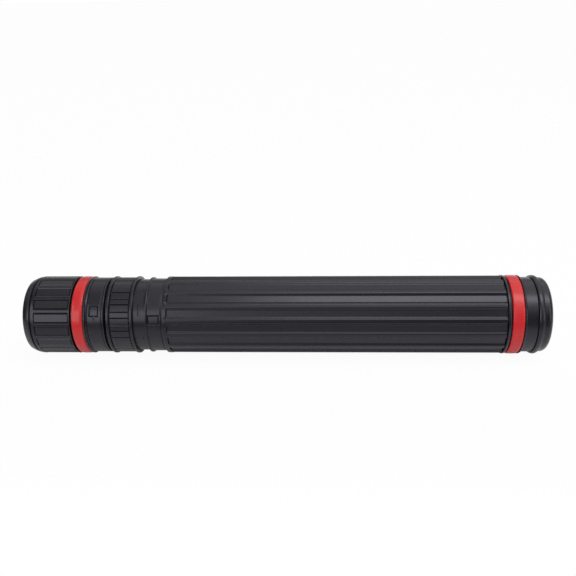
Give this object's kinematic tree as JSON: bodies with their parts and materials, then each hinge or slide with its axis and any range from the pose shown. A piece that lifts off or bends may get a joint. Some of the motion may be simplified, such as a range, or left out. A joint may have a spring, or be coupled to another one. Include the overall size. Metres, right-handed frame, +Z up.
{
  "type": "telescopic poster tube",
  "caption": "Telescopic carrying tube for rolled posters, with a screw cap, a twist lock ring, a ribbed outer tube and red bands.",
  "frame": {"origin": "on the surface that the tube lies on, under the middle of its length, below its axis", "axes": "+X along the tube from the cap to the base, +Z up, -Y towards the side with the marks"},
  "size_m": [0.6214, 0.0946, 0.0946],
  "materials": {
    "black_plastic": "satin moulded plastic, black with a slight blue tint",
    "tube_plastic": "satin moulded plastic, black, with long ribs",
    "red_plastic": "glossy red moulded plastic",
    "liner_foam": "soft dark grey closed-cell foam"
  },
  "bodies": {
    "outer": {"outer_tube": "tube_plastic", "lock_collar": "black_plastic", "base_collar": "black_plastic", "base_side_ring": "red_plastic", "base_plug": "black_plastic"},
    "lock": {"lock_ring": "black_plastic"},
    "inner": {"inner_tube": "tube_plastic", "inner_head": "black_plastic", "cap_side_ring": "red_plastic", "stop_ring": "black_plastic"},
    "liner": {"cap_liner": "liner_foam"},
    "cap": {"cap_shell": "black_plastic"}
  },
  "joints": [
    {"name": "tube_slide", "type": "slide", "parent": "outer", "child": "inner", "axis": [-1, 0, 0], "range_m": [0, 0.37]},
    {"name": "lock_turn", "type": "hinge", "parent": "outer", "child": "lock", "pos_m": [-0.19, 0, 0.04732], "axis": [-1, 0, 0], "range_deg": [0, 30]},
    {"name": "cap_off", "type": "slide", "parent": "inner", "child": "liner", "axis": [-1, 0, 0], "range_m": [0, 0.07]},
    {"name": "cap_turn", "type": "hinge", "parent": "liner", "child": "cap", "pos_m": [-0.28, 0, 0.04732], "axis": [-1, 0, 0], "range_deg": [0, 720]}
  ]
}
